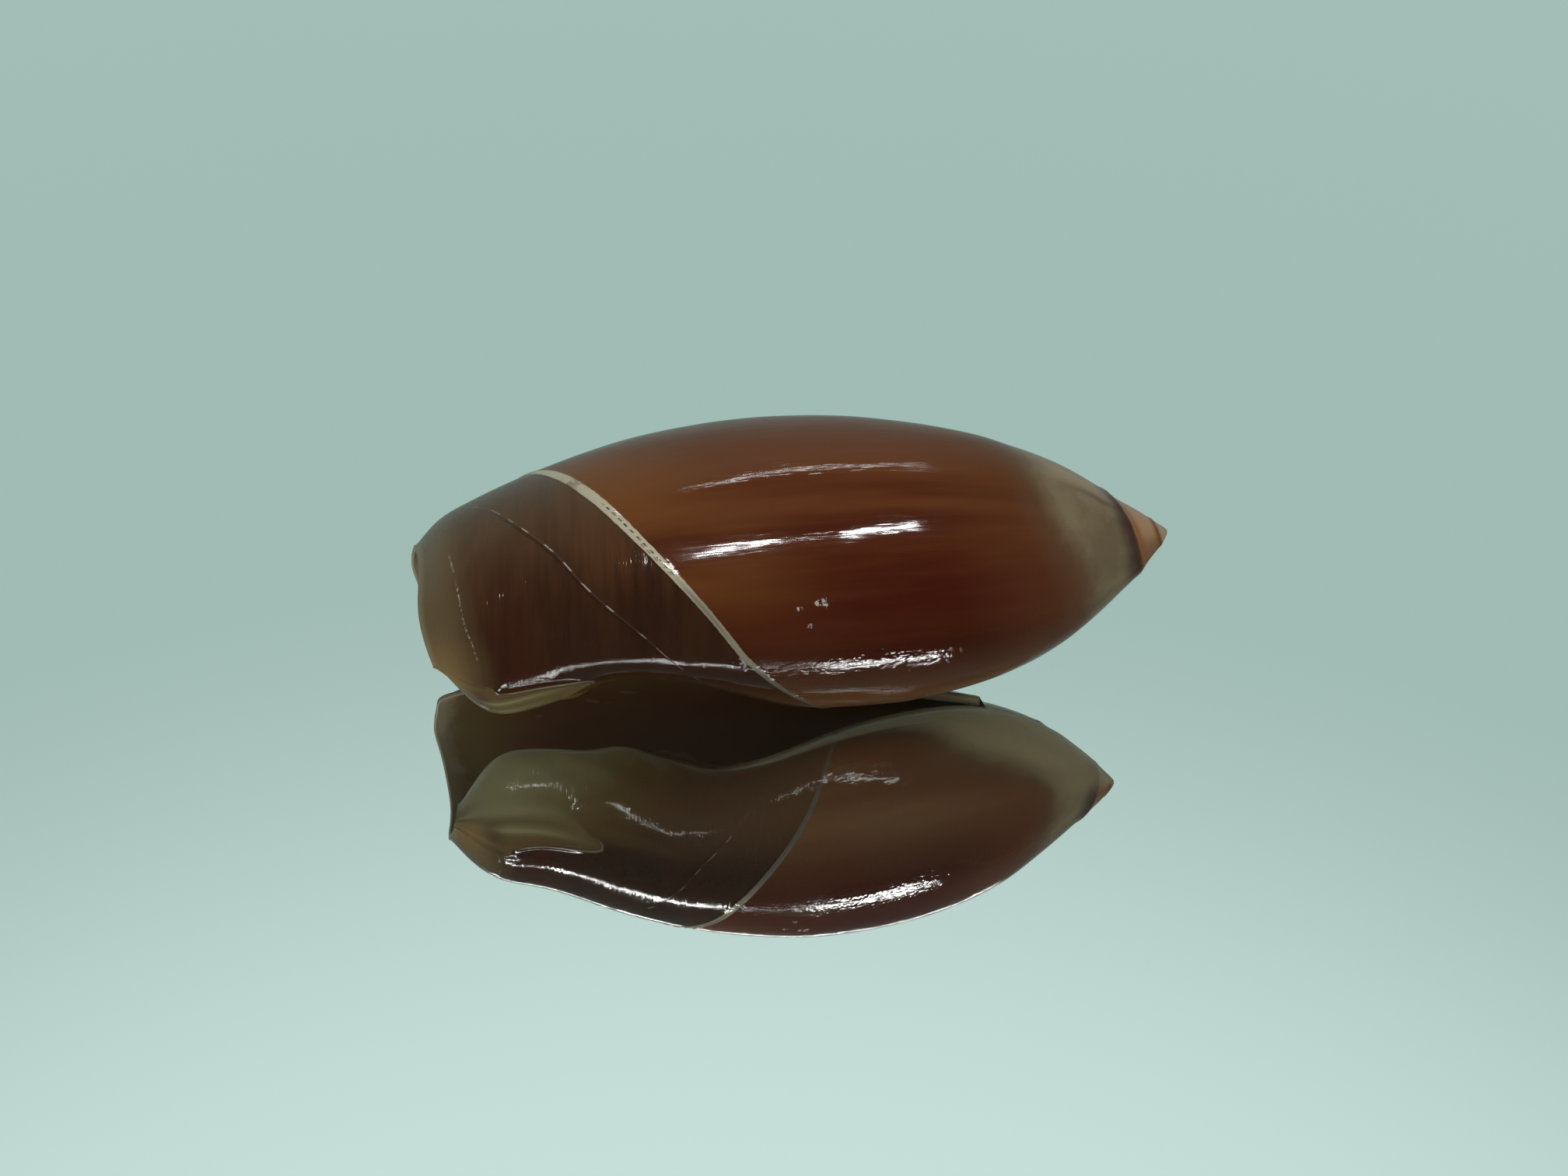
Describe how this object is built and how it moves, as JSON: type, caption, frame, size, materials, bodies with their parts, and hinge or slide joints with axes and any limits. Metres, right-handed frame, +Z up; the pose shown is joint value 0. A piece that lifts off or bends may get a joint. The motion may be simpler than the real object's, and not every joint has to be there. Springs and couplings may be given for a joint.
{
  "type": "ancilla sea snail shell",
  "caption": "Slender glossy chestnut sea snail shell with a pale spiral groove, a callused pointed spire and a long aperture, lying on its aperture side.",
  "frame": {"origin": "centre of the base of the bounding box, on the surface that the shell lies on", "axes": "+X along the shell from its open front end to the apex, +Y towards the outer lip, +Z up through the back of the body whorl"},
  "size_m": [0.035, 0.0134, 0.0131],
  "materials": {
    "enamel": "gloss"
  },
  "bodies": {
    "root": {"shell": "enamel"}
  },
  "joints": []
}
